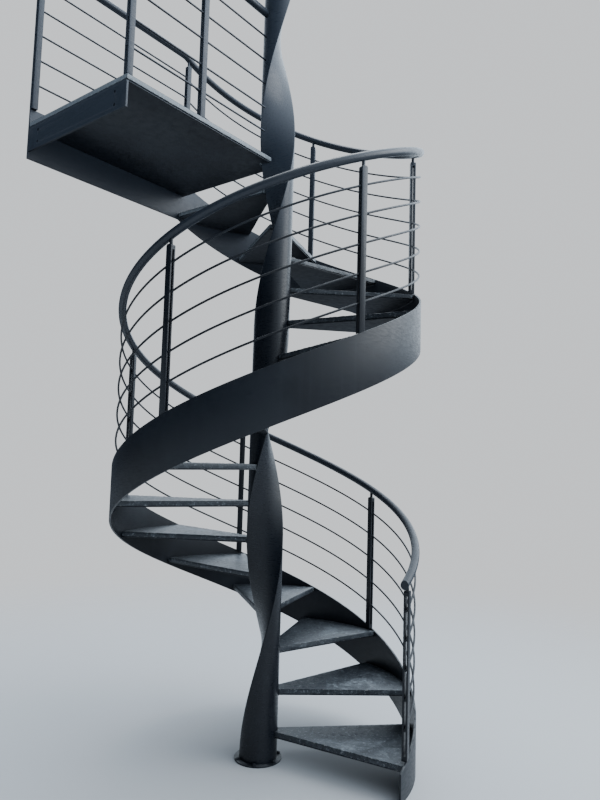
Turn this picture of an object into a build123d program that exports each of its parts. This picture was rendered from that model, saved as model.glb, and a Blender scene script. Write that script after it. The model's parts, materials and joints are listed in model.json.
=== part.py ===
from build123d import *
import math
import os

# Spiral stair of welded steel, with stone treads on steel trays.
# Millimetres, +Z up. The origin is on the column's axis, on the underside of the base flange.
# Angles are in degrees about +Z from +X, and grow as the stair climbs.

# Climb
FIRST_RISE = 145.0
RISE = 190.0
LAST_RISE = 145.0
TREAD_ANGLE = 33.0
FIRST_NOSING_ANGLE = -83.0
TREAD_COUNT = 16

# Base flange
FLANGE_THICKNESS = 6.0
ANCHOR_CIRCLE_DIAMETER = 215.0
ANCHOR_EDGE = 12.5
ANCHOR_COUNT = 6
ANCHOR_HOLE = 12.0

# Column: a round bar of sheet with one side cut away by a face that twists with the stair
COLUMN_RADIUS = 95.0
COLUMN_FLAT_OFFSET = 15.0
COLUMN_LAG_ANGLE = 42.0
COLUMN_ABOVE_LANDING = 1085.0
CAP_THICKNESS = 6.0

# Treads
TREAD_OVERLAP_ANGLE = 5.0
SLAB_THICKNESS = 24.0
TRAY_THICKNESS = 6.0
TRAY_SETBACK = 6.0

# Outer stringer
STRINGER_RADIUS = 786.0
STRINGER_THICKNESS = 10.0
STRINGER_HEIGHT = 258.0
STRINGER_LEAD_ANGLE = 3.0

# Balustrade
POST_TREAD_COUNT = 2
POST_AFTER_NOSING_ANGLE = 3.0
BAR_WIDTH = 30.0
BAR_THICKNESS = 8.0
ROD_DIAMETER = 10.0
ROD_SIDES = 6
ROD_COUNT = 5
ROD_SLACK = 0.4
RAIL_DIAMETER = 40.0
RAIL_SIDES = 12
RAIL_HEIGHT = 797.0
RAIL_OVERHANG_ANGLE = 3.0
FOOT_BLOCK = 15.0
HEAD_HEIGHT = 24.0
HEAD_ROUNDING = 9.0
NECK_DIAMETER = 16.0
NECK_LENGTH = 26.0

# Landing: a straight strip that leaves the stair along the tangent where the treads end
LANDING_LENGTH = 1000.0
LANDING_NOSE = 40.0
LANDING_FRONT = 15.0
FRONT_POST_SPACING = 436.0
BRACKET_DEPTH = 120.0
BRACKET_THICKNESS = 10.0
BRACKET_HOLE = 14.0
BRACKET_SPACING = 600.0
BRACKET_ROWS = 60.0

# Gap left where welded pieces would otherwise share a curved face
SEAT = 0.3

FLANGE_RADIUS = ANCHOR_CIRCLE_DIAMETER / 2 + ANCHOR_EDGE
PITCH = RISE * 360.0 / TREAD_ANGLE
RUN_END = FIRST_NOSING_ANGLE + TREAD_ANGLE * TREAD_COUNT + TREAD_OVERLAP_ANGLE
LANDING_TOP = FIRST_RISE + RISE * (TREAD_COUNT - 1) + LAST_RISE
COLUMN_TOP = LANDING_TOP + COLUMN_ABOVE_LANDING
STRINGER_INNER = STRINGER_RADIUS - STRINGER_THICKNESS
ROD_GAP = ROD_DIAMETER + ROD_SLACK
POST_DEPTH = 2 * BAR_THICKNESS + ROD_GAP
POST_RADIUS = STRINGER_RADIUS - POST_DEPTH / 2
FRONT_GUARD = LANDING_FRONT + POST_DEPTH / 2
END_POST = LANDING_LENGTH - BAR_WIDTH / 2
ROD_HEIGHTS = [RAIL_HEIGHT * (i + 1) / (ROD_COUNT + 1) for i in range(ROD_COUNT)]

# Landing's own frame: X across it, away from the column, and Y along it, towards the building
ON_LANDING = Rot(0, 0, RUN_END)


def nosing_height(angle):
    """Height of the line through the nosings at an angle."""
    return FIRST_RISE + RISE * (angle - FIRST_NOSING_ANGLE) / TREAD_ANGLE


def column_angle(height):
    """Direction of the column's round side at a height."""
    return FIRST_NOSING_ANGLE + TREAD_ANGLE * (height - FIRST_RISE) / RISE - COLUMN_LAG_ANGLE


def post_angles():
    """Angles of the posts, one after every POST_TREAD_COUNT treads."""
    step = POST_TREAD_COUNT * TREAD_ANGLE
    first = FIRST_NOSING_ANGLE + POST_AFTER_NOSING_ANGLE
    count = int((RUN_END - first) // step) + 1
    return [first + step * i for i in range(count)]


def frame_at(angle, radius, height):
    """Plane in the vertical radial section: local X points outwards, local Y up."""
    a = math.radians(angle)
    origin = (radius * math.cos(a), radius * math.sin(a), height)
    return Plane(origin=origin, x_dir=(math.cos(a), math.sin(a), 0), z_dir=(math.sin(a), -math.cos(a), 0))


def rising_path(radius, start, end, height_at_start):
    """Helix that climbs with the stair from one angle to another."""
    rise = PITCH * (end - start) / 360.0
    path = Helix(pitch=PITCH, height=rise, radius=radius)
    return Pos(0, 0, height_at_start) * Rot(0, 0, start) * path


def knee(offset):
    """Plane that halves the bend where a bar beside the treads turns level."""
    rising = rising_path(POST_RADIUS, FIRST_NOSING_ANGLE, RUN_END, nosing_height(FIRST_NOSING_ANGLE) + offset)
    level = Vector(1, 0, 0).rotate(Axis.Z, RUN_END + 90)
    return Plane(origin=rising @ 1, z_dir=rising % 1 + level)


def rising_bar(diameter, sides, start, end, offset):
    """Bar that follows the nosing line at a height above it, near enough round; the last has a mitre."""
    past = math.degrees(diameter / POST_RADIUS) if end == RUN_END else 0
    path = rising_path(POST_RADIUS, start, end + past, nosing_height(start) + offset)
    outwards = Vector(1, 0, 0).rotate(Axis.Z, start)
    section = Plane(origin=path @ 0, x_dir=outwards, z_dir=path % 0) * RegularPolygon(diameter / 2, sides)
    bar = sweep(section, path=path, is_frenet=True)
    return split(bar, bisect_by=knee(offset), keep=Keep.BOTTOM) if past else bar


def level_bar(diameter, sides, across, start, height):
    """Straight bar along the landing up to the building."""
    plane = Plane(origin=(across, start, height), x_dir=(1, 0, 0), z_dir=(0, 1, 0))
    return ON_LANDING * extrude(plane * RegularPolygon(diameter / 2, sides), LANDING_LENGTH - start)


def outer_level_bar(diameter, sides, offset):
    """Level bar that carries on from a rising one."""
    bar = level_bar(diameter, sides, POST_RADIUS, -diameter, nosing_height(RUN_END) + offset)
    return split(bar, bisect_by=knee(offset), keep=Keep.TOP)


def swept_plate(radius, thickness, height, start, end, top_offset):
    """Upright plate that follows the nosing line, its top a height above it."""
    middle = radius - thickness / 2
    centre = nosing_height(start) + top_offset - height / 2
    path = rising_path(middle, start, end, centre)
    section = frame_at(start, middle, centre) * Rectangle(thickness, height)
    return sweep(section, path=path, is_frenet=True)


def sector(inner, outer, start, span):
    """Flat ring sector between two radii and two angles."""
    a0 = math.radians(start)
    a1 = math.radians(start + span)
    middle = (a0 + a1) / 2

    def at(radius, angle):
        return (radius * math.cos(angle), radius * math.sin(angle))

    outline = [
        Line(at(inner, a0), at(outer, a0)),
        ThreePointArc(at(outer, a0), at(outer, middle), at(outer, a1)),
        Line(at(outer, a1), at(inner, a1)),
        ThreePointArc(at(inner, a1), at(inner, middle), at(inner, a0)),
    ]
    return make_face(outline)


def base_flange():
    """Round plate under the column with a ring of anchor holes."""
    plate = Pos(0, 0, FLANGE_THICKNESS / 2) * Cylinder(FLANGE_RADIUS, FLANGE_THICKNESS)
    holes = PolarLocations(ANCHOR_CIRCLE_DIAMETER / 2, ANCHOR_COUNT, start_angle=180.0 / ANCHOR_COUNT)
    for place in holes:
        plate -= place * Cylinder(ANCHOR_HOLE / 2, 4 * FLANGE_THICKNESS)
    return plate


def column_body(grown):
    """Round column with one side cut away by a face that turns once per turn of the stair."""
    bottom = FLANGE_THICKNESS
    height = COLUMN_TOP - bottom
    radius = COLUMN_RADIUS + grown
    body = Pos(0, 0, bottom + height / 2) * Cylinder(radius, height)
    start = column_angle(bottom)
    depth = COLUMN_RADIUS
    flat = Pos(-COLUMN_FLAT_OFFSET - grown - depth / 2, 0) * Rectangle(depth, 3 * COLUMN_RADIUS)
    section = Pos(0, 0, bottom) * Rot(0, 0, start) * flat
    axis = Line((0, 0, bottom), (0, 0, COLUMN_TOP))
    guide = Pos(0, 0, bottom) * Rot(0, 0, start) * Helix(pitch=PITCH, height=height, radius=COLUMN_RADIUS)
    cutter = sweep(section, path=axis, binormal=guide.edge())
    return body - cutter


def column_cap():
    """Flat plate that closes the column's top."""
    section = Circle(COLUMN_RADIUS) & (
        Rot(0, 0, column_angle(COLUMN_TOP)) * Pos(COLUMN_RADIUS - COLUMN_FLAT_OFFSET, 0) * Rectangle(
            2 * COLUMN_RADIUS, 3 * COLUMN_RADIUS
        )
    )
    return Pos(0, 0, COLUMN_TOP) * extrude(section, CAP_THICKNESS)


def tread_slab(index):
    """Stone slab of one tread, counted from the floor."""
    start = FIRST_NOSING_ANGLE + TREAD_ANGLE * index
    top = FIRST_RISE + RISE * index
    outline = sector(COLUMN_RADIUS + SEAT, STRINGER_INNER - SEAT, start, TREAD_ANGLE + TREAD_OVERLAP_ANGLE)
    return Pos(0, 0, top - SLAB_THICKNESS) * extrude(outline, SLAB_THICKNESS)


def tread_tray(index):
    """Steel plate under one slab, welded to the column and to the stringer."""
    start = FIRST_NOSING_ANGLE + TREAD_ANGLE * index
    back = math.degrees(TRAY_SETBACK / STRINGER_INNER)
    top = FIRST_RISE + RISE * index - SLAB_THICKNESS
    span = TREAD_ANGLE + TREAD_OVERLAP_ANGLE - 2 * back
    outline = sector(COLUMN_RADIUS + SEAT, STRINGER_INNER - SEAT, start + back, span)
    return Pos(0, 0, top - TRAY_THICKNESS) * extrude(outline, TRAY_THICKNESS)


def stringer(start, end):
    """Length of the outer plate, cut level where it meets the floor."""
    plate = swept_plate(STRINGER_RADIUS, STRINGER_THICKNESS, STRINGER_HEIGHT, start, end, 0)
    if nosing_height(start) < STRINGER_HEIGHT:
        below = Pos(0, 0, -STRINGER_HEIGHT) * Box(
            3 * STRINGER_RADIUS, 3 * STRINGER_RADIUS, 2 * STRINGER_HEIGHT
        )
        plate -= below
    return plate


def slope_at(radius):
    """Slope of the nosing line at a radius, in degrees."""
    return math.degrees(math.atan(PITCH / (2 * math.pi * radius)))


def post_solid(foot, rail, slope):
    """Post on the Z axis: two flat bars, a block at the foot, a rounded head and a neck under the rail."""
    head_top = rail - RAIL_DIAMETER / 2 - NECK_LENGTH
    below = 2 * BAR_WIDTH
    bar_height = head_top - HEAD_HEIGHT - foot + below
    whole = Pos(0, 0, foot) * Box(POST_DEPTH, BAR_WIDTH, 2 * FOOT_BLOCK)
    for side in (-1, 1):
        offset = side * (ROD_GAP + BAR_THICKNESS) / 2
        middle = head_top - HEAD_HEIGHT - bar_height / 2
        whole += Pos(offset, 0, middle) * Box(BAR_THICKNESS, BAR_WIDTH, bar_height)

    head = Pos(0, 0, head_top - HEAD_HEIGHT / 2) * Box(POST_DEPTH, BAR_WIDTH, HEAD_HEIGHT)
    upper = head.edges().filter_by(Axis.X).group_by(Axis.Z)[-1]
    whole += fillet(upper, HEAD_ROUNDING)
    neck_height = NECK_LENGTH + RAIL_DIAMETER / 2
    whole += Pos(0, 0, head_top + neck_height / 2) * Cylinder(NECK_DIAMETER / 2, neck_height)

    rail_radius = RAIL_DIAMETER / 2 + SEAT
    whole -= Pos(0, 0, rail) * Rot(slope + 90, 0, 0) * Cylinder(rail_radius, 4 * BAR_WIDTH)
    seat = Pos(0, 0, foot + SEAT) * Rot(slope, 0, 0)
    whole -= seat * Pos(0, 0, -below) * Box(4 * POST_DEPTH, 4 * BAR_WIDTH, 2 * below)
    return whole


def post(angle):
    """Post on the stringer's upper edge."""
    foot = nosing_height(angle)
    solid = post_solid(foot, foot + RAIL_HEIGHT, slope_at(POST_RADIUS))
    return Rot(0, 0, angle) * Pos(POST_RADIUS, 0, 0) * solid


def handrail(start, end):
    """Length of the round handrail."""
    return rising_bar(RAIL_DIAMETER, RAIL_SIDES, start, end, RAIL_HEIGHT)


def rods(start, end):
    """Round rods between stringer and handrail, evenly spaced."""
    return [rising_bar(ROD_DIAMETER, ROD_SIDES, start, end, height) for height in ROD_HEIGHTS]


def landing_plate(top, thickness, setback, column_room):
    """Level plate of the landing, fitted to the column and the stringer, its open edges set back."""
    outer = STRINGER_INNER - SEAT
    front = LANDING_FRONT + setback
    nose = LANDING_NOSE - setback
    corner = math.sqrt(outer**2 - nose**2)
    points = [(front, -nose), (corner, -nose), (outer, 0), (outer, LANDING_LENGTH), (front, LANDING_LENGTH)]
    plate = extrude(make_face(Polyline(*points, close=True)), thickness)
    return ON_LANDING * Pos(0, 0, top - thickness) * plate - column_room


def landing_bracket():
    """Plate with bolt holes under the landing's end, which ties it to the building."""
    width = STRINGER_INNER - SEAT - LANDING_FRONT
    plate = Box(width, BRACKET_THICKNESS, BRACKET_DEPTH)
    for x in (-BRACKET_SPACING / 2, BRACKET_SPACING / 2):
        for z in (-BRACKET_ROWS / 2, BRACKET_ROWS / 2):
            plate -= Pos(x, 0, z) * Rot(90, 0, 0) * Cylinder(BRACKET_HOLE / 2, 4 * BRACKET_THICKNESS)
    top = LANDING_TOP - SLAB_THICKNESS - TRAY_THICKNESS
    place = Pos(LANDING_FRONT + width / 2, LANDING_LENGTH - BRACKET_THICKNESS / 2, top - BRACKET_DEPTH / 2)
    return ON_LANDING * place * plate


def landing_stringer():
    """Level length of the outer plate, beside the landing."""
    plate = Box(STRINGER_THICKNESS, LANDING_LENGTH, STRINGER_HEIGHT)
    height = nosing_height(RUN_END) - STRINGER_HEIGHT / 2
    return ON_LANDING * Pos(STRINGER_RADIUS - STRINGER_THICKNESS / 2, LANDING_LENGTH / 2, height) * plate


def landing_handrail():
    """Level length of the handrail, over the landing's stringer."""
    return outer_level_bar(RAIL_DIAMETER, RAIL_SIDES, RAIL_HEIGHT)


def landing_rods():
    """Level lengths of the rods, over the landing's stringer."""
    return [outer_level_bar(ROD_DIAMETER, ROD_SIDES, height) for height in ROD_HEIGHTS]


def level_post(across, along, foot):
    """Post of a level guard."""
    return ON_LANDING * Pos(across, along, 0) * post_solid(foot, foot + RAIL_HEIGHT, 0)


def front_guard_rail(column_room):
    """Handrail over the landing's front edge, from the column to the building."""
    bar = level_bar(RAIL_DIAMETER, RAIL_SIDES, FRONT_GUARD, 0, LANDING_TOP + RAIL_HEIGHT)
    return bar - column_room


def front_guard_rods(column_room):
    """Rods over the landing's front edge, from the column to the building."""
    heights = [LANDING_TOP + height for height in ROD_HEIGHTS]
    return [level_bar(ROD_DIAMETER, ROD_SIDES, FRONT_GUARD, 0, height) - column_room for height in heights]


def write(name, made):
    """Writes one node; several solids stay apart in it."""
    pieces = made if isinstance(made, list) else [made]
    solids = [solid for piece in pieces for solid in piece.solids()]
    shape = solids[0] if len(solids) == 1 else Compound(children=solids)
    export_step(shape, f"parts/{name}.step")


def build():
    """Makes every node of the stair."""
    os.makedirs("parts", exist_ok=True)
    write("base_flange", base_flange())
    write("twisted_column", column_body(0))
    write("column_cap", column_cap())
    for index in range(TREAD_COUNT):
        write(f"tread_slab_{index + 1:02d}", tread_slab(index))
    half = TREAD_COUNT // 2
    write("lower_tread_trays", [tread_tray(i) for i in range(half)])
    write("upper_tread_trays", [tread_tray(i) for i in range(half, TREAD_COUNT)])

    posts = post_angles()
    cuts = posts[2:-1:2]
    rod_start = posts[0] - math.degrees(BAR_WIDTH / 2 / POST_RADIUS)
    runs = (
        ("stringer", FIRST_NOSING_ANGLE - STRINGER_LEAD_ANGLE, stringer),
        ("handrail", posts[0] - RAIL_OVERHANG_ANGLE, handrail),
        ("guard_rods", rod_start, rods),
    )
    for name, first, make in runs:
        bounds = [first, *cuts, RUN_END]
        for number, (start, end) in enumerate(zip(bounds[:-1], bounds[1:]), 1):
            write(f"{name}_{number}", make(start, end))
    for number, angle in enumerate(posts, 1):
        write(f"post_{number}", post(angle))

    column_room = column_body(SEAT)
    tray_top = LANDING_TOP - SLAB_THICKNESS
    write("landing_slab", landing_plate(LANDING_TOP, SLAB_THICKNESS, 0, column_room))
    write("landing_frame", landing_plate(tray_top, TRAY_THICKNESS, TRAY_SETBACK, column_room))
    write("landing_bracket", landing_bracket())
    write("landing_stringer", landing_stringer())
    write("landing_handrail", landing_handrail())
    write("landing_rods", landing_rods())
    write("landing_post", level_post(POST_RADIUS, END_POST, nosing_height(RUN_END)))
    write("front_guard_rail", front_guard_rail(column_room))
    write("front_guard_rods", front_guard_rods(column_room))
    write("front_guard_post_1", level_post(FRONT_GUARD, END_POST - FRONT_POST_SPACING, LANDING_TOP))
    write("front_guard_post_2", level_post(FRONT_GUARD, END_POST, LANDING_TOP))


build()
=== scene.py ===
import contextlib
import json
import math

import bpy
from bpy.props import FloatProperty, FloatVectorProperty, PointerProperty
from mathutils import Matrix, Vector


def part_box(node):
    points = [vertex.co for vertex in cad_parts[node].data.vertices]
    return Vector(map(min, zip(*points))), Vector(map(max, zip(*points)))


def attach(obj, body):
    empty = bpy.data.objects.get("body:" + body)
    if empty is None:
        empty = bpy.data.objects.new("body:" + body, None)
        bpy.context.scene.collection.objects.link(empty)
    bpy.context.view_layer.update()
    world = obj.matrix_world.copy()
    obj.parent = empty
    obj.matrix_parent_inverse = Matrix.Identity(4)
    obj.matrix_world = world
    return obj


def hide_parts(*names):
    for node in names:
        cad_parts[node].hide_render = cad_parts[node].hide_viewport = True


bl_info = {
    "name": "Spiral stair finish",
    "version": (1, 0, 0),
    "blender": (4, 5, 0),
    "location": "View3D > Sidebar > Stair",
    "description": "Makes the finished steel and stone pieces of a spiral stair on its frame",
    "category": "Add Mesh",
}

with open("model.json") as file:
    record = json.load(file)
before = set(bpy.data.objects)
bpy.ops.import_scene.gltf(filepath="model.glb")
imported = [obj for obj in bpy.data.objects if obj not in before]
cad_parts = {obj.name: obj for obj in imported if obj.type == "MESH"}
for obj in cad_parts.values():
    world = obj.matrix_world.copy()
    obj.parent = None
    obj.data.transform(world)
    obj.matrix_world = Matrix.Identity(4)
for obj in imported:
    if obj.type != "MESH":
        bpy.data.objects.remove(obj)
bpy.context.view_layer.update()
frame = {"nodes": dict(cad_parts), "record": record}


def top_of(node):
    """Height of a node's top."""
    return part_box(node)[1].z


def foot_of(node):
    """Height of a node's underside."""
    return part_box(node)[0].z


def nodes_named(*starts):
    """Frame nodes whose names start with one of these words."""
    return [node for node in sorted(frame["nodes"]) if node.startswith(starts)]


# Heights and radii, read from the frame
FLOOR = 0.0
FIRST_RISE = top_of("tread_slab_01")
RISE = top_of("tread_slab_02") - FIRST_RISE
TREAD_COUNT = len(nodes_named("tread_slab_"))
LANDING_TOP = top_of("landing_slab")
LANDING_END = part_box("landing_slab")[0].x
SLAB_FOOT = foot_of("tread_slab_01")
SLAB_THICKNESS = FIRST_RISE - SLAB_FOOT
TRAY_FOOT = foot_of("lower_tread_trays")
COLUMN_FOOT = foot_of("twisted_column")
COLUMN_TOP = top_of("twisted_column")
COLUMN_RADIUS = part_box("twisted_column")[1].x
STRINGER_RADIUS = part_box("landing_stringer")[1].y
STRINGER_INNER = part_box("landing_stringer")[0].y
STRINGER_TOP = top_of("landing_stringer")
STRINGER_HEIGHT = STRINGER_TOP - foot_of("landing_stringer")
GUARD_RADIUS = sum(corner.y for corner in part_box("landing_post")) / 2
FRONT_GUARD = sum(corner.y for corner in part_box("front_guard_post_1")) / 2
RAIL_HEIGHT = sum(corner.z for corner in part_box("landing_handrail")) / 2 - STRINGER_TOP
RAIL_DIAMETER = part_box("front_guard_rail")[1].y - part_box("front_guard_rail")[0].y
ROD_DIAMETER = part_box("front_guard_rods")[1].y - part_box("front_guard_rods")[0].y
ROD_COUNT = 5
ROD_HEIGHTS = [RAIL_HEIGHT * (i + 1) / (ROD_COUNT + 1) for i in range(ROD_COUNT)]
HELIX_POSTS = len(nodes_named("post_"))
TREADS_PER_POST = 2

# Angles between faces: merged up to the first, softened from the second, smooth up to the others
FLAT_LIMIT = math.radians(0.6)
EDGE_LIMIT = math.radians(35)
SMOOTH_LIMIT = math.radians(32)
WELD_SMOOTH = math.radians(60)

# Turns between the sections of pieces that wind round the column
PLATE_STEP = math.radians(2)
RAIL_STEP = math.radians(2.5)
WELD_STEP = math.radians(1.5)

# Sides of round pieces, and cuts across the column's flat side and the slabs
COLUMN_SIDES = 112
FLAT_CUTS = 27
SLAB_CUTS = 70
RAIL_SIDES = 24
ROD_SIDES = 10
WELD_SIDES = 8
FLOOR_SIDES = 96

NEAR = 1e-5
QUARTER_TURN = math.pi / 2
MM_PER_METRE = 1000
HEAD_TURN = 2.3
FLOOR_DROP = 0.001
PAINT_RELIEF = 0.00001
FINE_RELIEF = 0.000006
MAP_NAME = "slab"


class StairSizes(bpy.types.PropertyGroup):
    """Sizes of the stair's finish."""

    tread_angle: FloatProperty(
        name="Tread angle", description="Turn from one nosing to the next",
        default=math.radians(33), subtype="ANGLE",
    )
    first_nosing: FloatProperty(
        name="First nosing", description="Direction of the lowest tread's nosing",
        default=math.radians(-83), subtype="ANGLE",
    )
    tread_overlap: FloatProperty(
        name="Tread overlap", description="How far a tread reaches under the next one's nosing",
        default=math.radians(5), subtype="ANGLE",
    )
    stringer_lead: FloatProperty(
        name="Stringer lead", description="How far the stringer starts before the first nosing",
        default=math.radians(3), subtype="ANGLE",
    )
    rail_lead: FloatProperty(
        name="Rail lead", description="How far the handrail starts before the first post",
        default=math.radians(3), subtype="ANGLE",
    )
    rod_lead: FloatProperty(
        name="Rod lead", description="How far the rods reach past the first post's middle",
        default=0.015, unit="LENGTH",
    )
    first_post: FloatProperty(
        name="First post", description="How far the first post stands after the first nosing",
        default=math.radians(3), subtype="ANGLE",
    )
    column_lag: FloatProperty(
        name="Column lag",
        description="How far the column's round side lies behind the nosings at its foot",
        default=math.radians(34.8), subtype="ANGLE",
    )
    column_pitch: FloatProperty(
        name="Column pitch", description="Height in which the column twists once",
        default=2.177, unit="LENGTH",
    )
    column_flat: FloatProperty(
        name="Column flat", description="Distance from the column's axis to its flat side",
        default=0.0, unit="LENGTH",
    )
    column_arris: FloatProperty(
        name="Column arris", description="Softening of the column's two long edges",
        default=0.003, unit="LENGTH",
    )
    plate_edge: FloatProperty(
        name="Plate edge", description="Softening of the steel plates' edges",
        default=0.0012, unit="LENGTH",
    )
    stone_edge: FloatProperty(
        name="Stone edge", description="Worn arris of the stone slabs",
        default=0.0022, unit="LENGTH",
    )
    chip_margin: FloatProperty(
        name="Chip margin", description="How far the chips in the front arris stay from a slab's ends",
        default=0.016, unit="LENGTH",
    )
    tray_setback: FloatProperty(
        name="Tray setback", description="How far the steel under a tread lies behind the stone's edges",
        default=0.006, unit="LENGTH",
    )
    seat: FloatProperty(
        name="Seat", description="Gap between the treads and the column or stringer",
        default=0.0003, unit="LENGTH",
    )
    weld: FloatProperty(
        name="Weld", description="Leg of the weld beads", default=0.0035, unit="LENGTH",
    )
    bend_length: FloatProperty(
        name="Bend length", description="Length in which the guard turns from rising to level",
        default=0.03, unit="LENGTH",
    )


class StairColours(bpy.types.PropertyGroup):
    """Colours of the stair's finish."""

    paint: FloatVectorProperty(
        name="Paint", description="Charcoal paint", subtype="COLOR", default=(0.0035, 0.0050, 0.0085),
    )
    paint_worn: FloatVectorProperty(
        name="Worn paint", description="Paint chalked by the weather", subtype="COLOR",
        default=(0.013, 0.0165, 0.022),
    )
    # Painted top light: the paint's colour where it is painted lighter near the top, as if lit from the open
    # sky; the rail's painted sheen also mixes towards it
    paint_lit_top: FloatVectorProperty(
        name="Bleached paint", description="Paint bleached by the sun near the top", subtype="COLOR",
        default=(0.038, 0.047, 0.062),
    )
    # Heights over which the painted top light grows from nothing to full
    top_light_between: FloatVectorProperty(
        name="Bleached between", description="Heights at which the bleaching starts and is full",
        size=2, unit="LENGTH", default=(2.3, 3.3),
    )
    dust: FloatVectorProperty(
        name="Dust", description="Dust on faces that look up", subtype="COLOR",
        default=(0.27, 0.28, 0.285),
    )
    stone: FloatVectorProperty(
        name="Stone", description="Dark stone", subtype="COLOR", default=(0.010, 0.014, 0.020),
    )
    # Paler patches of the stone; the painted top light on the slabs' steep faces also mixes towards this
    # colour
    stone_pale_and_lit: FloatVectorProperty(
        name="Light stone", description="Paler patches of the stone", subtype="COLOR",
        default=(0.31, 0.35, 0.38),
    )
    stone_chip: FloatVectorProperty(
        name="Stone chips", description="Fresh stone on its worn arrises", subtype="COLOR",
        default=(0.23, 0.235, 0.23),
    )
    floor: FloatVectorProperty(
        name="Floor", description="Studio floor", subtype="COLOR", default=(0.47, 0.48, 0.49),
    )
    backdrop: FloatVectorProperty(
        name="Backdrop", description="Background behind the stair", subtype="COLOR",
        default=(0.86, 0.89, 0.92),
    )
    light: FloatVectorProperty(
        name="Light", description="Surrounding light", subtype="COLOR", default=(0.78, 0.89, 1.0),
    )
    shade_light: FloatVectorProperty(
        name="Shade light", description="Surrounding light on the dark side", subtype="COLOR",
        default=(0.25, 0.5, 1.0),
    )


class StairView(bpy.types.PropertyGroup):
    """Camera and lights."""

    eye: FloatVectorProperty(
        name="Eye", description="Place of the camera", subtype="TRANSLATION", unit="LENGTH",
        default=(-2.6895, -2.2568, 1.5061),
    )
    heading: FloatProperty(
        name="Heading", description="Direction of view, from the X axis",
        default=math.radians(37.34), subtype="ANGLE",
    )
    tilt: FloatProperty(
        name="Tilt", description="Angle of view above the horizon",
        default=math.radians(5.09), subtype="ANGLE",
    )
    roll: FloatProperty(
        name="Roll", description="Turn of the camera about its view",
        default=math.radians(1.60), subtype="ANGLE",
    )
    lens: FloatProperty(name="Lens", description="Focal length in millimetres", default=29.91)
    open_side: FloatVectorProperty(
        name="Open side", description="Direction that most of the light comes from",
        subtype="DIRECTION", default=(0.80, -0.42, 0.42),
    )
    open_spread: FloatVectorProperty(
        name="Open spread", description="Cosines at which the open side's light starts and is full",
        size=2, default=(-0.45, 0.93),
    )
    open_level: FloatVectorProperty(
        name="Open level", description="Heights of the surroundings where it starts and is full",
        size=2, default=(0.0, 0.22),
    )
    sky: FloatProperty(
        name="Sky", description="Strength of the surrounding light on the open side", default=3.3,
    )
    low_side: FloatVectorProperty(
        name="Low side", description="Direction of the light that the far floor throws back",
        subtype="DIRECTION", default=(-0.78, -0.62, 0.0),
    )
    low_spread: FloatVectorProperty(
        name="Low spread", description="Cosines at which the far floor's light starts and is full",
        size=2, default=(-1.30, 0.30),
    )
    low_level: FloatVectorProperty(
        name="Low level", description="Heights of the surroundings where it starts and is full",
        size=2, default=(0.04, -0.08),
    )
    low: FloatProperty(name="Low light", description="Strength of the far floor's light", default=0.9)
    shade: FloatProperty(
        name="Shade", description="Strength of the surrounding light on the other side", default=0.05,
    )
    key: FloatProperty(name="Key light", description="Power of each large soft light", default=120.0)
    key_place: FloatVectorProperty(
        name="Key place", description="Place of the large soft light beside the stair",
        subtype="TRANSLATION", unit="LENGTH", default=(2.3, -3.9, 4.6),
    )
    key_width: FloatProperty(
        name="Key width", description="Width of the light beside the stair", default=3.5, unit="LENGTH",
    )
    top_place: FloatVectorProperty(
        name="Top place", description="Place of the large soft light overhead",
        subtype="TRANSLATION", unit="LENGTH", default=(0.8, 0.6, 7.5),
    )
    top_width: FloatProperty(
        name="Top width", description="Width of the light overhead", default=3.0, unit="LENGTH",
    )
    floor_radius: FloatProperty(
        name="Floor radius", description="Radius of the studio floor", default=9.0, unit="LENGTH",
    )
    floor_fade: FloatVectorProperty(
        name="Floor fade", description="Distances at which the floor starts to fade and is gone",
        size=2, unit="LENGTH", default=(1.4, 6.0),
    )


def sizes():
    """Sizes set in the scene."""
    return bpy.context.scene.stair_sizes


def colours():
    """Colours set in the scene."""
    return bpy.context.scene.stair_colours


def nosing_height(angle):
    """Height of the line through the nosings at an angle."""
    return FIRST_RISE + RISE * (angle - sizes().first_nosing) / sizes().tread_angle


def rise_over(start, end):
    """Height that the stair climbs between two angles."""
    return nosing_height(end) - nosing_height(start)


def run_end():
    """Angle where the last tread ends and the landing's side starts."""
    return sizes().first_nosing + sizes().tread_angle * TREAD_COUNT + sizes().tread_overlap


def slope_at(radius):
    """Slope of the nosing line at a radius."""
    return math.atan(RISE / (sizes().tread_angle * radius))


def select_only(*pieces):
    """Selects pieces and nothing else; the last one is active."""
    bpy.ops.object.select_all(action="DESELECT")
    for piece in pieces:
        piece.select_set(True)
    bpy.context.view_layer.objects.active = pieces[-1]


@contextlib.contextmanager
def editing(piece, kind="VERT", chosen=None):
    """Edit mode on one piece, with all of it selected, or what passes a test."""
    select_only(piece)
    mesh = piece.data
    groups = {"VERT": mesh.vertices, "EDGE": mesh.edges, "FACE": mesh.polygons}
    for group in groups.values():
        group.foreach_set("select", [chosen is None] * len(group))
    if chosen is not None:
        for element in groups[kind]:
            element.select = chosen(element)
    bpy.context.tool_settings.mesh_select_mode = [kind == name for name in ("VERT", "EDGE", "FACE")]
    bpy.ops.object.mode_set(mode="EDIT")
    yield
    bpy.ops.object.mode_set(mode="OBJECT")


def apply_place(piece):
    """Puts a piece's place, turn and scale into its mesh."""
    select_only(piece)
    bpy.ops.object.transform_apply(location=True, rotation=True, scale=True)


def apply_modifier(piece, modifier):
    """Applies one modifier."""
    select_only(piece)
    bpy.ops.object.modifier_apply(modifier=modifier.name)


def primitive(operator, scale=(1, 1, 1), **shape):
    """New primitive, with its place, turn and scale put into its mesh."""
    bpy.ops.object.select_all(action="DESELECT")
    operator(**shape)
    piece = bpy.context.object
    piece.scale = scale
    apply_place(piece)
    return piece


def upright_cylinder(sides, radius, bottom, top):
    """Cylinder about the column's axis, between two heights."""
    return primitive(
        bpy.ops.mesh.primitive_cylinder_add,
        vertices=sides, radius=radius, depth=top - bottom, location=(0, 0, (bottom + top) / 2),
    )


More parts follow.
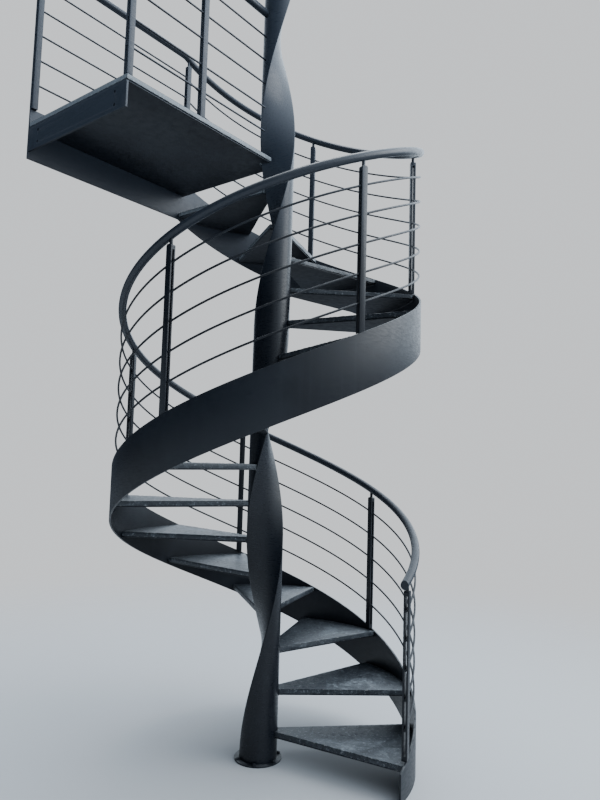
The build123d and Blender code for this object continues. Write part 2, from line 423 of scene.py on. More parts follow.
def round_profile(sides, radius, place, scale=(1, 1, 1)):
    """Ring of edges that stands upright at angle 0."""
    return primitive(
        bpy.ops.mesh.primitive_circle_add, scale,
        vertices=sides, radius=radius, fill_type="NOTHING", location=place, rotation=(QUARTER_TURN, 0, 0),
    )


def keep_outline(profile):
    """Leaves only a flat piece's edges, for a sweep."""
    with editing(profile):
        bpy.ops.mesh.delete(type="ONLY_FACE")


def plate_profile(inner, outer, bottom, top, edge):
    """Outline of a plate's section at angle 0, with softened corners."""
    profile = primitive(
        bpy.ops.mesh.primitive_plane_add, (outer - inner, top - bottom, 1),
        size=1, location=((inner + outer) / 2, 0, (bottom + top) / 2), rotation=(QUARTER_TURN, 0, 0),
    )
    with editing(profile):
        bpy.ops.mesh.bevel(offset=edge, segments=3, affect="VERTICES")
    keep_outline(profile)
    return profile


def climb(piece, start, end, rise, step):
    """Sweeps a closed profile, drawn at angle 0, round the column and up."""
    screw = piece.modifiers.new("climb", "SCREW")
    screw.axis = "Z"
    screw.angle = end - start
    screw.screw_offset = rise
    screw.steps = screw.render_steps = max(2, round((end - start) / step))
    apply_modifier(piece, screw)
    piece.rotation_euler.z = start
    apply_place(piece)
    with editing(piece):
        bpy.ops.mesh.fill_holes(sides=0)
    return piece


def draw_out(piece, chosen, distance):
    """Draws a piece out along the landing, from the faces whose points pass a test."""
    with editing(piece, "VERT", chosen):
        bpy.ops.mesh.select_mode(type="FACE")
        bpy.ops.mesh.extrude_region_move(TRANSFORM_OT_translate={"value": (distance, 0, 0)})


def join(pieces):
    """Joins pieces into the first one."""
    select_only(*reversed(pieces))
    if len(pieces) > 1:
        bpy.ops.object.join()
    return pieces[0]


def copy_of(piece):
    """Copy of a piece with its own mesh."""
    select_only(piece)
    bpy.ops.object.duplicate(linked=False)
    return bpy.context.object


def placed_copy(piece, place, turn):
    """Copy of a piece, turned and put at a place."""
    copy = copy_of(piece)
    copy.location = place
    copy.rotation_euler = turn
    apply_place(copy)
    return copy


def climbed_copy(piece, treads, start=0.0):
    """Copy of a piece, turned from a starting angle and lifted by a number of treads."""
    return placed_copy(piece, (0, 0, RISE * treads), (0, 0, start + sizes().tread_angle * treads))


def merged_copy(node):
    """Copy of a frame node with its loose triangles merged into whole faces."""
    piece = bpy.data.objects.new(node, frame["nodes"][node].data.copy())
    bpy.context.scene.collection.objects.link(piece)
    select_only(piece)
    bpy.ops.mesh.customdata_custom_splitnormals_clear()
    with editing(piece):
        bpy.ops.mesh.remove_doubles(threshold=NEAR)
        bpy.ops.mesh.dissolve_limited(angle_limit=FLAT_LIMIT)
    return piece


def soften(piece, width, segments=2, arris=None):
    """Rounds a piece's sharp edges, with a material of their own where one is given."""
    bevel = piece.modifiers.new("edges", "BEVEL")
    bevel.width = width
    bevel.segments = segments
    bevel.limit_method = "ANGLE"
    bevel.angle_limit = EDGE_LIMIT
    if arris:
        piece.data.materials.append(arris)
        bevel.material = len(piece.data.materials) - 1
    apply_modifier(piece, bevel)


def lay_map(piece, turn):
    """Lays a flat map over a slab, across and along it, in metres."""
    layer = piece.data.uv_layers.new(name=MAP_NAME)
    for loop in piece.data.loops:
        spot = turn @ piece.data.vertices[loop.vertex_index].co
        layer.data[loop.index].uv = (spot.x, spot.y + spot.z)


def wear(piece, material):
    """Gives a piece its material."""
    piece.data.materials.clear()
    piece.data.materials.append(material)


def settle(piece, name, nodes=(), smooth=SMOOTH_LIMIT):
    """Names a finished piece, turns its faces outwards and puts it on the stair."""
    with editing(piece, "FACE"):
        bpy.ops.mesh.normals_make_consistent(inside=False)
    select_only(piece)
    bpy.ops.object.shade_smooth_by_angle(angle=smooth)
    piece.name = name
    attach(piece, "root")
    if nodes:
        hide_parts(*nodes)
    return piece


def feed(socket, value):
    """Links a socket to another node's output, or sets it to a value; a colour is opaque."""
    if isinstance(value, bpy.types.NodeSocket):
        socket.id_data.links.new(value, socket)
    elif socket.type == "RGBA":
        socket.default_value = (*value, 1.0)
    else:
        socket.default_value = value


def add_node(tree, kind, inputs=None, **settings):
    """New node of a material's or world's tree, with its inputs and settings."""
    node = tree.nodes.new(kind)
    for name, value in settings.items():
        setattr(node, name, value)
    for name, value in (inputs or {}).items():
        feed(node.inputs[name], value)
    return node


def new_material(name, rough, specular=0.34):
    """Material with a roughness and a strength of reflection, its shader and its tree."""
    material = bpy.data.materials.new(name)
    material.use_nodes = True
    shader = material.node_tree.nodes["Principled BSDF"]
    feed(shader.inputs["Roughness"], rough)
    feed(shader.inputs["Specular IOR Level"], specular)
    return material, shader, material.node_tree


def stretched(point, stretch):
    """Point stretched along the axes."""
    mapping = add_node(point.id_data, "ShaderNodeMapping", {"Vector": point, "Scale": stretch})
    return mapping.outputs["Vector"]


def object_point(tree, stretch=(1, 1, 1)):
    """Object coordinates, stretched along the axes."""
    place = add_node(tree, "ShaderNodeTexCoord")
    return stretched(place.outputs["Object"], stretch)


def surface_point(tree, stretch=(1, 1, 1)):
    """The piece's own map, stretched."""
    place = add_node(tree, "ShaderNodeUVMap", uv_map=MAP_NAME)
    return stretched(place.outputs["UV"], stretch)


def parts_of(vector):
    """The parts of a vector along the axes."""
    return add_node(vector.id_data, "ShaderNodeSeparateXYZ", {"Vector": vector}).outputs


def noise(point, scale, detail=4.0, rough=0.55):
    """Noise value at a scale in cycles per metre."""
    node = add_node(point.id_data, "ShaderNodeTexNoise", {
        "Vector": point, "Scale": scale, "Detail": detail, "Roughness": rough,
    })
    return node.outputs["Fac"]


def ramp(value, low, high, to_low=0.0, to_high=1.0):
    """Maps a value between two limits, smoothly."""
    node = add_node(value.id_data, "ShaderNodeMapRange", {
        "Value": value, "From Min": low, "From Max": high, "To Min": to_low, "To Max": to_high,
    }, interpolation_type="SMOOTHSTEP")
    return node.outputs["Result"]


def pattern(point, scale, limits, detail=4.0, rough=0.55, amount=1.0):
    """Noise that grows from nothing at its lower limit to an amount at its upper one."""
    return ramp(noise(point, scale, detail, rough), *limits, 0.0, amount)


def combine(operation, first, second=0.0):
    """Mathematics on a value and another or a number; sums and products stay in 0 to 1."""
    node = add_node(first.id_data, "ShaderNodeMath", {0: first, 1: second}, operation=operation)
    node.use_clamp = operation in ("ADD", "SUBTRACT", "MULTIPLY")
    return node.outputs["Value"]


def plus(first, second):
    """Sum of two values."""
    return combine("ADD", first, second)


def minus(first, second):
    """Difference of two values."""
    return combine("SUBTRACT", first, second)


def times(first, second):
    """Product of two values."""
    return combine("MULTIPLY", first, second)


def blend(factor, first, second):
    """Mixes two colours, each a colour or another mix."""
    node = add_node(factor.id_data, "ShaderNodeMix", {"Factor": factor}, data_type="RGBA")
    ends = [socket for socket in node.inputs if socket.type == "RGBA"]
    for socket, colour in zip(ends, (first, second)):
        feed(socket, colour)
    return next(socket for socket in node.outputs if socket.type == "RGBA")


def bump(shader, value, distance, strength=1.0, under=None):
    """Relief from a value, on top of another relief where one is given."""
    inputs = {"Strength": strength, "Distance": distance, "Height": value}
    if under:
        inputs["Normal"] = under
    relief = add_node(value.id_data, "ShaderNodeBump", inputs).outputs["Normal"]
    feed(shader.inputs["Normal"], relief)
    return relief


def upward(tree):
    """Upward part of a face's direction, from -1 underneath to 1 on top."""
    geometry = add_node(tree, "ShaderNodeNewGeometry")
    return parts_of(geometry.outputs["Normal"])["Z"]


def facing_up(tree):
    """How far a face looks up, from 0 on steep faces to 1 on level ones."""
    return ramp(upward(tree), 0.35, 0.95)


def painted_top_light(tree):
    """Painted top light: how far a face is painted lighter, more the higher it is, and nothing on faces that
    look down.
    """
    height = parts_of(object_point(tree))["Z"]
    high = ramp(height, *colours().top_light_between)
    return times(high, ramp(upward(tree), -0.7, -0.3))


def painted_steel(name, gloss, chalk, lying, painted_sheen=0.0, fine=False):
    """Satin charcoal paint with chalky patches, runs, fine scratches and dust, and painted top light that
    makes it paler near the top.
    """
    material, shader, tree = new_material(name, gloss)
    point = object_point(tree)
    patches = pattern(point, scale=2.2, limits=(0.38, 0.66), detail=5)
    streaky = object_point(tree, stretch=(38, 38, 1.6))
    runs = pattern(streaky, scale=1, limits=(0.52, 0.74), amount=0.3)
    worn = times(plus(patches, runs), chalk)
    paint = blend(worn, colours().paint, colours().paint_worn)
    # Painted top light and painted sheen: the paint is mixed towards its lit colour near the top, and by a
    # share all over where one is given
    pale = combine("MAXIMUM", painted_top_light(tree), painted_sheen)
    paint = blend(pale, paint, colours().paint_lit_top)
    specks = pattern(point, scale=240, limits=(0.62, 0.7), detail=3, rough=0.7)
    cloudy = pattern(point, scale=14, limits=(0.35, 0.75), detail=5, rough=0.6)
    settled = times(times(facing_up(tree), cloudy), lying)
    dust = plus(settled, times(specks, 0.02))
    feed(shader.inputs["Base Color"], blend(dust, paint, colours().dust))
    scratches = noise(object_point(tree, stretch=(1, 1, 6)), scale=30, rough=0.6)
    roughness = ramp(scratches, 0.3, 0.75, gloss - 0.06, gloss + 0.12)
    feed(shader.inputs["Roughness"], plus(roughness, times(dust, 0.45)))
    relief = FINE_RELIEF if fine else PAINT_RELIEF
    peel = bump(shader, noise(point, scale=420, detail=2), relief)
    bump(shader, noise(point, scale=7, detail=2), relief * 40, under=peel)
    return material


def trodden(tree):
    """How far a point lies inside the part of a tread that feet wear, from 0 to 1."""
    place = parts_of(surface_point(tree))
    slant = combine("DIVIDE", combine("ABSOLUTE", place["Y"]), place["X"])
    wander = noise(object_point(tree), scale=9)
    slant = minus(slant, times(wander, 0.10))
    beside = ramp(slant, 0.10, 0.27, 1.0, 0.0)
    from_column = ramp(place["X"], 0.14, 0.42)
    from_stringer = ramp(place["X"], 0.60, 0.76, 1.0, 0.0)
    return times(beside, times(from_column, from_stringer))


def dark_stone(name):
    """Honed dark stone: soft clouds, pale crystals, brushed streaks, dust where feet wear it, and painted
    top light on its steep faces near the top.
    """
    material, shader, tree = new_material(name, 0.5, specular=0.45)
    point = object_point(tree)
    brushed = surface_point(tree, stretch=(7, 75, 1))
    clouds = pattern(point, scale=8, limits=(0.36, 0.66), detail=6, rough=0.65)
    mottle = pattern(point, scale=42, limits=(0.40, 0.68), detail=6, rough=0.72)
    streaks = pattern(brushed, scale=1, limits=(0.44, 0.68), detail=6, rough=0.7)
    specks = pattern(point, scale=55, limits=(0.55, 0.65), detail=5, rough=0.78)
    grain = pattern(point, scale=380, limits=(0.45, 0.70), detail=3, rough=0.7)
    worn = times(trodden(tree), facing_up(tree))
    drawn = plus(times(clouds, 0.55), times(streaks, 0.45))
    haze = times(times(worn, drawn), plus(mottle, 0.35))
    # Painted top light: steep stone faces are painted paler the higher they are, none on faces that look up
    # or down
    edges = minus(painted_top_light(tree), facing_up(tree))
    pale = plus(times(haze, 0.55), times(times(clouds, mottle), 0.20))
    for part, share in ((specks, 0.40), (grain, 0.08), (edges, 0.6)):
        pale = plus(pale, times(part, share))
    body = blend(pale, colours().stone, colours().stone_pale_and_lit)
    scraped = surface_point(tree, stretch=(10, 90, 1))
    scuffs = pattern(scraped, scale=2, limits=(0.60, 0.72), detail=5, rough=0.7)
    dust = times(times(scuffs, facing_up(tree)), 0.55)
    feed(shader.inputs["Base Color"], blend(dust, body, colours().dust))
    roughness = ramp(mottle, 0.0, 1.0, 0.40, 0.60)
    feed(shader.inputs["Roughness"], plus(roughness, times(haze, 0.18)))
    fine = bump(shader, noise(point, scale=240, rough=0.65), 0.0005, strength=0.6)
    bump(shader, noise(point, scale=60, rough=0.6), 0.0006, strength=0.4, under=fine)
    return material


def worn_arris(name):
    """Stone along its arrises, knocked paler in places."""
    material, shader, tree = new_material(name, 0.6)
    point = object_point(tree)
    chips = pattern(point, scale=46, limits=(0.54, 0.64), detail=5, rough=0.72)
    body = blend(times(chips, 0.85), colours().stone, colours().stone_chip)
    feed(shader.inputs["Base Color"], body)
    bump(shader, noise(point, scale=160, rough=0.7), 0.0010)
    return material


def weld_metal(name):
    """Painted weld with the ripple of its run."""
    material, shader, tree = new_material(name, 0.45)
    point = object_point(tree)
    worn = pattern(point, scale=25, limits=(0.4, 0.7))
    feed(shader.inputs["Base Color"], blend(worn, colours().paint, colours().paint_worn))
    bump(shader, noise(point, scale=190, detail=3, rough=0.6), 0.0012)
    return material


class STAIR_OT_column(bpy.types.Operator):
    """Make the twisted column, its cap and its base flange"""

    bl_idname = "stair.column"
    bl_label = "Column"

    def execute(self, context):
        size = sizes()
        height = COLUMN_TOP - COLUMN_FOOT
        start = size.first_nosing + (COLUMN_FOOT - FIRST_RISE) * size.tread_angle / RISE - size.column_lag
        end = start + height / size.column_pitch * math.tau
        column = climb(self.section(), start, end, height, PLATE_STEP)
        wear(column, painted_steel("column_paint", gloss=0.31, chalk=0.6, lying=0.5))
        settle(column, "column", ["twisted_column"])
        self.finish_plate(self.turned_cap(end), "column_cap")
        self.finish_plate(merged_copy("base_flange"), "base_flange")
        return {"FINISHED"}

    def section(self):
        """Outline of the column's foot, round but for its flat side."""
        size = sizes()
        column = primitive(
            bpy.ops.mesh.primitive_circle_add,
            vertices=COLUMN_SIDES, radius=COLUMN_RADIUS, fill_type="NGON", location=(0, 0, COLUMN_FOOT),
        )
        self.cut_flat(column, use_fill=False)
        with editing(column, "VERT", lambda vertex: abs(vertex.co.x + size.column_flat) < NEAR):
            bpy.ops.mesh.bevel(offset=size.column_arris, segments=4, affect="VERTICES")
        keep_outline(column)
        with editing(column, "EDGE", lambda edge: self.is_flat(column, edge)):
            bpy.ops.mesh.subdivide(number_cuts=FLAT_CUTS)
        return column

    def cut_flat(self, piece, use_fill):
        """Cuts a round piece along the column's flat side."""
        middle = (-sizes().column_flat, 0, 0)
        with editing(piece):
            bpy.ops.mesh.bisect(plane_co=middle, plane_no=(1, 0, 0), clear_inner=True, use_fill=use_fill)

    def is_flat(self, column, edge):
        """Whether an edge of the outline is the column's flat side."""
        first, second = (column.data.vertices[i].co for i in edge.vertices)
        return abs(first.y - second.y) > COLUMN_RADIUS

    def turned_cap(self, angle):
        """Cap of the column's section, turned to where the column ends."""
        cap = upright_cylinder(COLUMN_SIDES, COLUMN_RADIUS, foot_of("column_cap"), top_of("column_cap"))
        self.cut_flat(cap, use_fill=True)
        cap.rotation_euler.z = angle
        apply_place(cap)
        return cap

    def finish_plate(self, plate, node):
        """Paints and softens one of the column's plates."""
        wear(plate, painted_steel(f"{node}_paint", gloss=0.42, chalk=0.8, lying=0.75))
        soften(plate, sizes().plate_edge)
        settle(plate, f"{node}_plate", [node])


class STAIR_OT_treads(bpy.types.Operator):
    """Make the stone treads and the steel trays under them"""

    bl_idname = "stair.treads"
    bl_label = "Treads"

    def execute(self, context):
        size = sizes()
        span = size.tread_angle + size.tread_overlap
        slab = self.sector(SLAB_FOOT, FIRST_RISE, 0, span, SLAB_CUTS)
        wear(slab, dark_stone("tread_stone"))
        soften(slab, size.stone_edge, arris=worn_arris("tread_arris"))
        lay_map(slab, Matrix.Rotation(-span / 2, 3, "Z"))
        back = size.tray_setback / STRINGER_INNER
        tray = self.sector(TRAY_FOOT, SLAB_FOOT, back, span - back)
        wear(tray, painted_steel("tray_paint", gloss=0.5, chalk=0.6, lying=0.3))
        soften(tray, size.plate_edge)
        for index in range(TREAD_COUNT):
            chipped = self.chipped(slab, index)
            tread = climbed_copy(chipped, index, size.first_nosing)
            settle(tread, f"tread_{index + 1:02d}", [f"tread_slab_{index + 1:02d}"])
            bpy.data.objects.remove(chipped)
        trays = [climbed_copy(tray, index, size.first_nosing) for index in range(TREAD_COUNT)]
        half = TREAD_COUNT // 2
        settle(join(trays[:half]), "lower_trays", ["lower_tread_trays"])
        settle(join(trays[half:]), "upper_trays", ["upper_tread_trays"])
        for master in (slab, tray):
            bpy.data.objects.remove(master)
        return {"FINISHED"}

    def sector(self, bottom, top, start, end, cuts=0):
        """Ring sector from the column to the stringer, its long edges cut up where asked."""
        seat = sizes().seat
        piece = plate_profile(COLUMN_RADIUS + seat, STRINGER_INNER - seat, bottom, top, 0)
        if cuts:
            with editing(piece, "EDGE", lambda edge: self.is_long(piece, edge)):
                bpy.ops.mesh.subdivide(number_cuts=cuts)
        return climb(piece, start, end, 0, PLATE_STEP)

    def is_long(self, piece, edge):
        """Whether an edge runs from the column outwards."""
        first, second = (piece.data.vertices[i].co for i in edge.vertices)
        return abs(first.x - second.x) > SLAB_THICKNESS

    def chipped(self, slab, index):
        """Copy of the slab with small chips along its front arrises, other ones for each index."""
        copy = copy_of(slab)
        edge = sizes().stone_edge
        inner = COLUMN_RADIUS + sizes().chip_margin
        outer = STRINGER_INNER - sizes().chip_margin
        with editing(copy, "VERT", lambda vertex: vertex.co.y < edge * 1.5 and inner < vertex.co.x < outer):
            bpy.ops.transform.vertex_random(offset=edge * 0.55, uniform=1.0, normal=0.0, seed=index + 1)
        return copy


class STAIR_OT_stringer(bpy.types.Operator):
    """Make the outer stringer, from the floor to the building"""

    bl_idname = "stair.stringer"
    bl_label = "Stringer"

    def execute(self, context):
        size = sizes()
        start = size.first_nosing - size.stringer_lead
        top = nosing_height(start)
        profile = plate_profile(STRINGER_INNER, STRINGER_RADIUS, top - STRINGER_HEIGHT, top, size.plate_edge)
        piece = climb(profile, start, run_end(), rise_over(start, run_end()), PLATE_STEP)
        with editing(piece):
            bpy.ops.mesh.bisect(plane_co=(0, 0, FLOOR), plane_no=(0, 0, 1), use_fill=True, clear_inner=True)
        draw_out(piece, self.at_landing, LANDING_END)
        wear(piece, painted_steel("stringer_paint", gloss=0.40, chalk=0.8, lying=0.6))
        settle(piece, "stringer", nodes_named("stringer_", "landing_stringer"))
        return {"FINISHED"}

    def at_landing(self, vertex):
        """Whether a point lies on the stringer's upper end, where the landing starts."""
        beside = abs(vertex.co.x) < NEAR and vertex.co.y > 0
        return beside and vertex.co.z > STRINGER_TOP - 2 * STRINGER_HEIGHT


class STAIR_OT_posts(bpy.types.Operator):
    """Make the posts of all the guards"""

    bl_idname = "stair.posts"
    bl_label = "Posts"

    def execute(self, context):
        paint = painted_steel("post_paint", gloss=0.38, chalk=0.8, lying=0.5)
        first = self.finished("post_1", paint)
        for number in range(2, HELIX_POSTS + 1):
            copy = climbed_copy(first, TREADS_PER_POST * (number - 1))
            settle(copy, f"guard_post_{number}", [f"post_{number}"])
        settle(first, "guard_post_1", ["post_1"])
        for node in ("landing_post", "front_guard_post_1", "front_guard_post_2"):
            settle(self.finished(node, paint), f"{node}_steel", [node])
        return {"FINISHED"}

    def finished(self, node, paint):
        """Painted post with softened edges."""
        post = merged_copy(node)
        wear(post, paint)
        soften(post, sizes().plate_edge / 2)
        return post


class STAIR_OT_guards(bpy.types.Operator):
    """Make the handrails and the rods"""

    bl_idname = "stair.guards"
    bl_label = "Handrails and rods"

    def execute(self, context):
        size = sizes()
        first_post = size.first_nosing + size.first_post
        rail_start = first_post - size.rail_lead
        rod_start = first_post - size.rod_lead / GUARD_RADIUS
        # The rail's paint is lifted all over towards the lit colour, a painted sheen for the light it
        # reflects
        rail_paint = painted_steel("rail_paint", gloss=0.34, chalk=0.7, lying=0.12, painted_sheen=0.45, fine=True)
        rod_paint = painted_steel("rod_paint", gloss=0.4, chalk=0.8, lying=0.06, fine=True)
        rail = self.rising_bars(RAIL_DIAMETER, [RAIL_HEIGHT], rail_start, RAIL_SIDES)
        settle(rail, "handrail", nodes_named("handrail_", "landing_handrail"))
        wear(rail, rail_paint)
        rods = self.rising_bars(ROD_DIAMETER, ROD_HEIGHTS, rod_start, ROD_SIDES)
        settle(rods, "guard_rods", nodes_named("guard_rods_", "landing_rods"))
        wear(rods, rod_paint)

        front_rail = self.front_bars(RAIL_DIAMETER, [RAIL_HEIGHT], RAIL_SIDES)
        wear(front_rail, rail_paint)
        settle(front_rail, "front_rail", ["front_guard_rail"])
        front_rods = self.front_bars(ROD_DIAMETER, ROD_HEIGHTS, ROD_SIDES)
        wear(front_rods, rod_paint)
        settle(front_rods, "front_rods", ["front_guard_rods"])
        return {"FINISHED"}

    def rising_bars(self, diameter, offsets, start, sides):
        """Round bars that climb beside the treads, turn level and run on to the building."""
        slope = slope_at(GUARD_RADIUS)
        upright = (1, 1 / math.cos(slope), 1)
        bars = join([
            round_profile(sides, diameter / 2, (GUARD_RADIUS, 0, nosing_height(start) + offset), upright)
            for offset in offsets
        ])
        climb(bars, start, run_end(), rise_over(start, run_end()), RAIL_STEP)
        end_heights = [nosing_height(run_end()) + offset for offset in offsets]
        bend = sizes().bend_length

        def at_end(vertex):
            beside = abs(vertex.co.x) < NEAR and abs(vertex.co.y - GUARD_RADIUS) < diameter
            return beside and vertex.co.z > min(end_heights) - diameter

        def at_bend(vertex):
            level = abs(vertex.co.y - GUARD_RADIUS) < diameter and vertex.co.z > LANDING_TOP + diameter
            return level and abs(vertex.co.x + bend) < NEAR

        draw_out(bars, at_end, -bend)
        for height in end_heights:
            middle = Vector((-bend, GUARD_RADIUS, height))
            with editing(bars, "VERT", lambda vertex: (vertex.co - middle).length < diameter * 0.7):
                bpy.ops.transform.resize(value=(1, 1, math.cos(slope)), center_override=middle)
        draw_out(bars, at_bend, LANDING_END + bend)
        return bars

    def front_bars(self, diameter, offsets, sides):
        """Level bars over the landing's front edge, from inside the column to the building."""
        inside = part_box("front_guard_rail")[1].x
        bars = []
        for offset in offsets:
            bar = primitive(
                bpy.ops.mesh.primitive_cylinder_add,
                vertices=sides, radius=diameter / 2, depth=inside - LANDING_END,
                location=((inside + LANDING_END) / 2, FRONT_GUARD, LANDING_TOP + offset),
                rotation=(0, QUARTER_TURN, 0),
            )
            soften(bar, diameter / 25)
            bars.append(bar)
        return join(bars)


class STAIR_OT_landing(bpy.types.Operator):
    """Make the landing's stone, its steel and the bracket at the building"""

    bl_idname = "stair.landing"
    bl_label = "Landing"

    def execute(self, context):
        size = sizes()
        slab = merged_copy("landing_slab")
        wear(slab, bpy.data.materials["tread_stone"])
        soften(slab, size.stone_edge, arris=bpy.data.materials["tread_arris"])
        lay_map(slab, Matrix.Identity(3))
        settle(slab, "landing_stone", ["landing_slab"])
        paint = painted_steel("landing_paint", gloss=0.42, chalk=0.7, lying=0.4)
        for node in ("landing_frame", "landing_bracket"):
            plate = merged_copy(node)
            wear(plate, paint)
            soften(plate, size.plate_edge)
            settle(plate, f"{node}_steel", [node])
        return {"FINISHED"}


class STAIR_OT_welds(bpy.types.Operator):
    """Make the weld beads under the treads, at the column and at the stringer"""

    bl_idname = "stair.welds"
    bl_label = "Welds"

    def execute(self, context):
        size = sizes()
        back = size.tray_setback / STRINGER_INNER
        end = size.tread_angle + size.tread_overlap - back
        runs = []
        for radius in (COLUMN_RADIUS, STRINGER_INNER):
            profile = round_profile(WELD_SIDES, size.weld, (radius, 0, TRAY_FOOT))
            runs.append(climb(profile, back, end, 0, WELD_STEP))
        bead = join(runs)
        wear(bead, weld_metal("weld_metal"))
        beads = [climbed_copy(bead, index, size.first_nosing) for index in range(TREAD_COUNT)]
        bpy.data.objects.remove(bead)
        settle(join(beads), "tread_welds", smooth=WELD_SMOOTH)
        return {"FINISHED"}


class STAIR_OT_bolts(bpy.types.Operator):
    """Make the bolts of the base flange and of the bracket at the building"""

    bl_idname = "stair.bolts"
    bl_label = "Bolts"

    def execute(self, context):
        mounts = {mount["name"]: mount for mount in frame["record"]["mounts"]}
        metal = painted_steel("bolt_paint", gloss=0.45, chalk=0.8, lying=0.4)
        self.make(mounts["base_anchors"], self.ring_places, "base_bolts", metal)
        self.make(mounts["landing_bolts"], self.wall_places, "bracket_bolts", metal)
        return {"FINISHED"}

    def make(self, mount, places, name, metal):
        """Bolts in all the holes of a mount, as one piece."""
        master = self.bolt(mount["dims"]["hole_r_mm"] / MM_PER_METRE)
        bolts = join([placed_copy(master, place, turn) for place, turn in places(mount)])
        bpy.data.objects.remove(master)
        wear(bolts, metal)
        settle(bolts, name)

    def ring_places(self, mount):
        """Places of the anchors on the base flange, each head turned as its spanner left it."""
        dims = mount["dims"]
        radius = dims["pcd_mm"] / 2 / MM_PER_METRE
        for index in range(dims["count"]):
            angle = (index + 0.5) * math.tau / dims["count"]
            place = (radius * math.cos(angle), radius * math.sin(angle), top_of("base_flange"))
            yield place, (0, 0, angle * HEAD_TURN)

    def wall_places(self, mount):
        """Places of the bolts on the bracket's face."""
        dims = mount["dims"]
        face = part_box("landing_bracket")[1].x
        for side in (-0.5, 0.5):
            across = mount["pos_m"][1] + side * dims["spacing_x_mm"] / MM_PER_METRE
            for level in (-0.5, 0.5):
                height = mount["pos_m"][2] + level * dims["spacing_y_mm"] / MM_PER_METRE
                yield (face, across, height), (0, QUARTER_TURN, 0)

    def bolt(self, hole_radius):
        """Hexagon head on a washer, standing on the XY plane, its shank down in the hole."""
        washer_top = 0.002
        head_foot = 0.0015
        clearance = 0.0003
        washer = self.disc(32, hole_radius * 2.1, bottom=-0.0001, top=washer_top)
        shank = self.disc(24, hole_radius - clearance, bottom=-0.0055, top=washer_top / 2)
        head = self.disc(6, hole_radius * 1.85, bottom=head_foot, top=head_foot + hole_radius * 1.05)
        with editing(head, "FACE", lambda face: face.normal.z > 0.9):
            bpy.ops.mesh.bevel(offset=hole_radius * 0.14, segments=2)
        thread = self.disc(24, hole_radius * 0.9, bottom=washer_top, top=head_foot + hole_radius * 1.5)
        return join([washer, shank, head, thread])

    def disc(self, sides, radius, bottom, top):
        """Short upright cylinder with softened ends."""
        disc = upright_cylinder(sides, radius, bottom, top)
        soften(disc, min(top - bottom, radius) / 8, segments=1)
        return disc


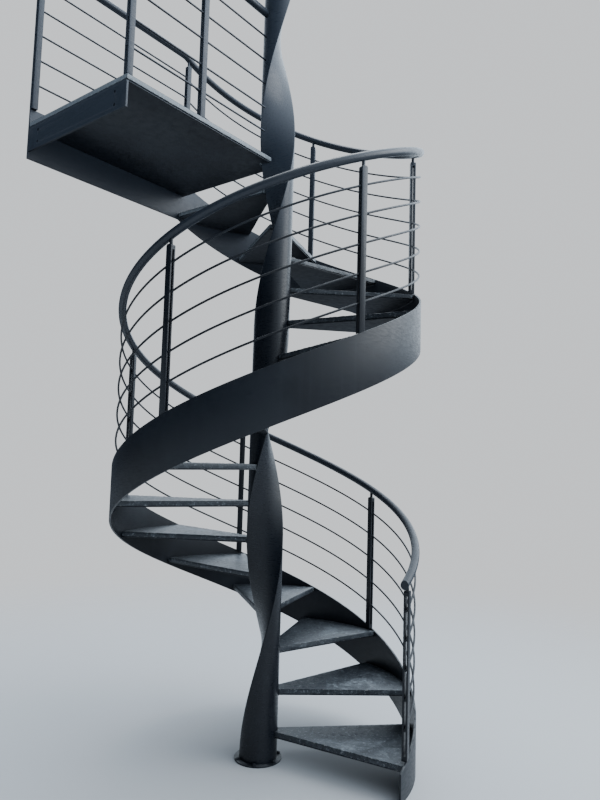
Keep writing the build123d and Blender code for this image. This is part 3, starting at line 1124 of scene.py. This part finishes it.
class STAIR_OT_stage(bpy.types.Operator):
    """Set the floor, the lights and the camera"""

    bl_idname = "stair.stage"
    bl_label = "Stage"

    def execute(self, context):
        view = context.scene.stair_view
        self.floor(view)
        self.sky(context, view)
        self.softbox(view.key_place, view.key_width, view.key)
        self.softbox(view.top_place, view.top_width, view.key)
        self.camera(context, view)
        return {"FINISHED"}

    def floor(self, view):
        """Round pale floor that fades out into the backdrop."""
        floor = primitive(
            bpy.ops.mesh.primitive_circle_add,
            vertices=FLOOR_SIDES, radius=view.floor_radius, fill_type="NGON",
            location=(0, 0, FLOOR - FLOOR_DROP),
        )
        floor.name = "studio_floor"
        material, shader, tree = new_material("studio_floor", 0.85)
        feed(shader.inputs["Base Color"], colours().floor)
        distance = add_node(tree, "ShaderNodeVectorMath", {0: object_point(tree)}, operation="LENGTH")
        fade = ramp(distance.outputs["Value"], *view.floor_fade, 1.0, 0.0)
        feed(shader.inputs["Alpha"], fade)
        floor.data.materials.append(material)

    def sky(self, context, view):
        """Even pale backdrop, with soft surrounding light that is strongest from the open side."""
        world = bpy.data.worlds.new("studio")
        world.use_nodes = True
        tree = world.node_tree
        above = self.level(tree, view.open_level)
        below = self.level(tree, view.low_level)
        total = self.shine(tree, colours().shade_light, view.shade)
        for light in (
            self.glow(tree, view.open_side, view.open_spread, above, view.sky),
            self.glow(tree, view.low_side, view.low_spread, below, view.low),
        ):
            total = add_node(tree, "ShaderNodeAddShader", {0: total, 1: light}).outputs["Shader"]
        backdrop = tree.nodes["Background"]
        feed(backdrop.inputs["Color"], colours().backdrop)
        rays = add_node(tree, "ShaderNodeLightPath")
        both = add_node(tree, "ShaderNodeMixShader", {
            "Fac": rays.outputs["Is Camera Ray"], 1: total, 2: backdrop.outputs["Background"],
        })
        feed(tree.nodes["World Output"].inputs["Surface"], both.outputs["Shader"])
        context.scene.world = world

    def level(self, tree, limits):
        """Mask that grows from one height of the surroundings to another."""
        return ramp(parts_of(object_point(tree))["Z"], *limits)

    def glow(self, tree, side, spread, mask, strength):
        """Surrounding light that grows towards one side, inside a mask."""
        facing = add_node(tree, "ShaderNodeVectorMath", {
            0: object_point(tree), 1: Vector(side).normalized(),
        }, operation="DOT_PRODUCT")
        grown = ramp(facing.outputs["Value"], *spread, 0.0, strength)
        masked = add_node(tree, "ShaderNodeMath", {0: grown, 1: mask}, operation="MULTIPLY")
        return self.shine(tree, colours().light, masked.outputs["Value"])

    def shine(self, tree, colour, strength):
        """Light of one colour from all round."""
        shining = add_node(tree, "ShaderNodeBackground", {"Color": colour, "Strength": strength})
        return shining.outputs["Background"]

    def softbox(self, place, width, power):
        """Large soft light that faces the stair's middle."""
        bpy.ops.object.light_add(type="AREA", location=place)
        light = bpy.context.object
        light.data.size = width
        light.data.energy = power
        light.visible_camera = False
        aim = Vector((0, 0, COLUMN_TOP / 2)) - Vector(place)
        light.rotation_euler = aim.to_track_quat("-Z", "Y").to_euler()

    def camera(self, context, view):
        """Camera at the eye, rolled about its view."""
        level = math.cos(view.tilt)
        ahead = Vector((math.cos(view.heading) * level, math.sin(view.heading) * level, math.sin(view.tilt)))
        right = Vector((math.sin(view.heading), -math.cos(view.heading), 0))
        up = right.cross(ahead)
        rolled = right * math.cos(view.roll) + up * math.sin(view.roll)
        over = up * math.cos(view.roll) - right * math.sin(view.roll)
        turn = Matrix((rolled, over, -ahead)).transposed()
        bpy.ops.object.camera_add(location=view.eye, rotation=turn.to_euler())
        camera = bpy.context.object
        camera.data.lens = view.lens
        camera.data.clip_end = 100
        context.scene.camera = camera


OPERATORS = (
    STAIR_OT_column, STAIR_OT_treads, STAIR_OT_stringer, STAIR_OT_posts, STAIR_OT_guards,
    STAIR_OT_landing, STAIR_OT_welds, STAIR_OT_bolts, STAIR_OT_stage,
)


class STAIR_PT_panel(bpy.types.Panel):
    """Panel with the stair's sizes, colours and pieces"""

    bl_idname = "STAIR_PT_panel"
    bl_label = "Spiral stair"
    bl_space_type = "VIEW_3D"
    bl_region_type = "UI"
    bl_category = "Stair"

    def draw(self, context):
        layout = self.layout
        for group in (context.scene.stair_sizes, context.scene.stair_colours, context.scene.stair_view):
            column = layout.column(align=True)
            for name in group.bl_rna.properties.keys():
                if name not in ("rna_type", "name"):
                    column.prop(group, name)
        for operator in OPERATORS:
            layout.operator(operator.bl_idname)


GROUPS = (("stair_sizes", StairSizes), ("stair_colours", StairColours), ("stair_view", StairView))


def register():
    """Registers the classes and hangs the property groups on the scene."""
    for name, group in GROUPS:
        bpy.utils.register_class(group)
        setattr(bpy.types.Scene, name, PointerProperty(type=group))
    for made in (*OPERATORS, STAIR_PT_panel):
        bpy.utils.register_class(made)


def unregister():
    """Removes what register added."""
    for made in (STAIR_PT_panel, *reversed(OPERATORS)):
        bpy.utils.unregister_class(made)
    for name, group in reversed(GROUPS):
        delattr(bpy.types.Scene, name)
        bpy.utils.unregister_class(group)


def main():
    """Makes the pieces in order."""
    register()
    bpy.ops.stair.column()
    bpy.ops.stair.treads()
    bpy.ops.stair.stringer()
    bpy.ops.stair.posts()
    bpy.ops.stair.guards()
    bpy.ops.stair.landing()
    bpy.ops.stair.welds()
    bpy.ops.stair.bolts()
    bpy.ops.stair.stage()


if __name__ == "__main__":
    main()
